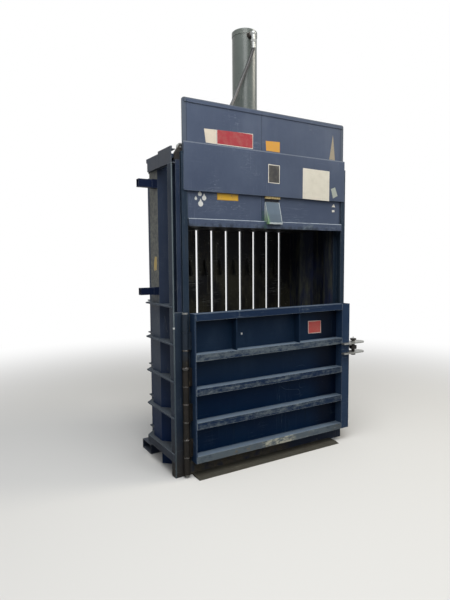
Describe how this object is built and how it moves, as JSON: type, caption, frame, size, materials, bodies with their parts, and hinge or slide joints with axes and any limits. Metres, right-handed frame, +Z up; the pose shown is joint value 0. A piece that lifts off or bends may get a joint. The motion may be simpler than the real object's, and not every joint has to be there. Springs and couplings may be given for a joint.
{
  "type": "vertical recycling baler",
  "caption": "Vertical hydraulic baler with a sliding feed gate, a ribbed hinged door, a slotted rear wall and a press cylinder on top.",
  "frame": {"origin": "on the floor, under the axis of the press cylinder and in the middle of the feed opening", "axes": "+X to the right across the feed opening, +Y from the front door to the rear wall, +Z up"},
  "size_m": [2.0295, 0.91, 3.565],
  "materials": {
    "navy_paint": "dusty dark blue paint, scuffed",
    "worn_navy_paint": "dark blue paint under grey dirt, worn at the edges",
    "dark_steel": "bare steel, dark with dirt",
    "rusty_steel": "rusty and greasy steel",
    "bare_steel": "bright worn steel",
    "grey_green_paint": "matt grey-green paint",
    "grey_paint": "light grey powder coat",
    "hose_rubber": "matt black hose",
    "slide_plastic": "dirty white slide plastic",
    "green_plastic": "glossy",
    "red_plastic": "glossy"
  },
  "bodies": {
    "frame": {"base_sills": "navy_paint", "base_joists": "navy_paint", "rear_foot": "navy_paint", "floor_plate": "dark_steel", "floor_bars": "dark_steel", "floor_sill": "dark_steel", "left_side_wall": "worn_navy_paint", "right_side_wall": "worn_navy_paint", "side_ribs": "worn_navy_paint", "rear_wall_channels": "worn_navy_paint", "rear_wall_ribs": "navy_paint", "retainer_dogs": "dark_steel", "left_gate_guide": "navy_paint", "right_gate_guide": "navy_paint", "hinge_post": "worn_navy_paint", "hinge_post_web": "worn_navy_paint", "hinge_backing_plate": "worn_navy_paint", "rope_guard_tube": "navy_paint", "pulley_bracket": "dark_steel", "gate_cross_plate": "navy_paint", "top_rails": "worn_navy_paint", "crosshead_beams": "navy_paint", "crosshead_deck": "navy_paint", "cylinder_barrel": "grey_green_paint", "cylinder_cap": "grey_green_paint", "cylinder_gland": "dark_steel", "cylinder_flange": "grey_green_paint", "flange_bolts": "bare_steel", "hose_elbows": "bare_steel", "hoses": "hose_rubber", "oil_tank": "worn_navy_paint", "motor_pump": "grey_green_paint", "valve_block": "dark_steel", "side_brackets": "navy_paint", "frame_knuckles": "rusty_steel", "hinge_pin": "bare_steel", "latch_keeper": "dark_steel", "control_box": "grey_paint"},
    "gate": {"gate_sheet": "navy_paint", "gate_rails": "navy_paint", "gate_handle": "worn_navy_paint"},
    "platen": {"platen_face": "dark_steel", "platen_bars": "dark_steel", "platen_teeth": "dark_steel", "platen_beams": "navy_paint", "platen_shoes": "slide_plastic", "piston_rod": "bare_steel"},
    "door": {"door_skin": "navy_paint", "door_ribs": "worn_navy_paint", "door_stiles": "navy_paint", "door_stiffeners": "worn_navy_paint", "door_knuckles": "rusty_steel", "latch_ears": "bare_steel"},
    "latch": {"latch_pin": "dark_steel", "latch_hook": "dark_steel"},
    "counterweight": {"counterweight": "dark_steel"},
    "rope_pulley": {"rope_pulley": "bare_steel"},
    "control_cover": {"control_cover": "grey_paint"},
    "start_button": {"start_button": "green_plastic"},
    "stop_button": {"stop_button": "red_plastic"}
  },
  "joints": [
    {"name": "gate_slide", "type": "slide", "parent": "frame", "child": "gate", "axis": [0, 0, -1], "range_m": [0, 0.63]},
    {"name": "platen_slide", "type": "slide", "parent": "frame", "child": "platen", "axis": [0, 0, -1], "range_m": [0, 1.016]},
    {"name": "door_hinge", "type": "hinge", "parent": "frame", "child": "door", "pos_m": [-0.808, -0.422, 0], "axis": [0, 0, 1], "range_deg": [-145, 0]},
    {"name": "latch_hinge", "type": "hinge", "parent": "door", "child": "latch", "pos_m": [0.862, -0.464, 0.84], "axis": [0, 0, 1], "range_deg": [-80, 35]},
    {"name": "counterweight_slide", "type": "slide", "parent": "frame", "child": "counterweight", "axis": [0, 0, 1], "range_m": [0, 0.63]},
    {"name": "pulley_spin", "type": "hinge", "parent": "frame", "child": "rope_pulley", "pos_m": [-0.7985, -0.357, 2.455], "axis": [0, 1, 0], "range_deg": [0, 1224]},
    {"name": "cover_hinge", "type": "hinge", "parent": "frame", "child": "control_cover", "pos_m": [0.998, 0.136, 1.6], "axis": [0, 0, 1], "range_deg": [0, 110]},
    {"name": "start_press", "type": "slide", "parent": "control_cover", "child": "start_button", "axis": [-1, 0, 0], "range_m": [0, 0.004], "stiffness_N_per_m": 800},
    {"name": "stop_press", "type": "slide", "parent": "control_cover", "child": "stop_button", "axis": [-1, 0, 0], "range_m": [0, 0.004], "stiffness_N_per_m": 800}
  ],
  "couplings": [
    {"joint": "counterweight_slide", "follows": "gate_slide", "ratio": 1},
    {"joint": "pulley_spin", "follows": "gate_slide", "rad_per_m": 33.898}
  ]
}
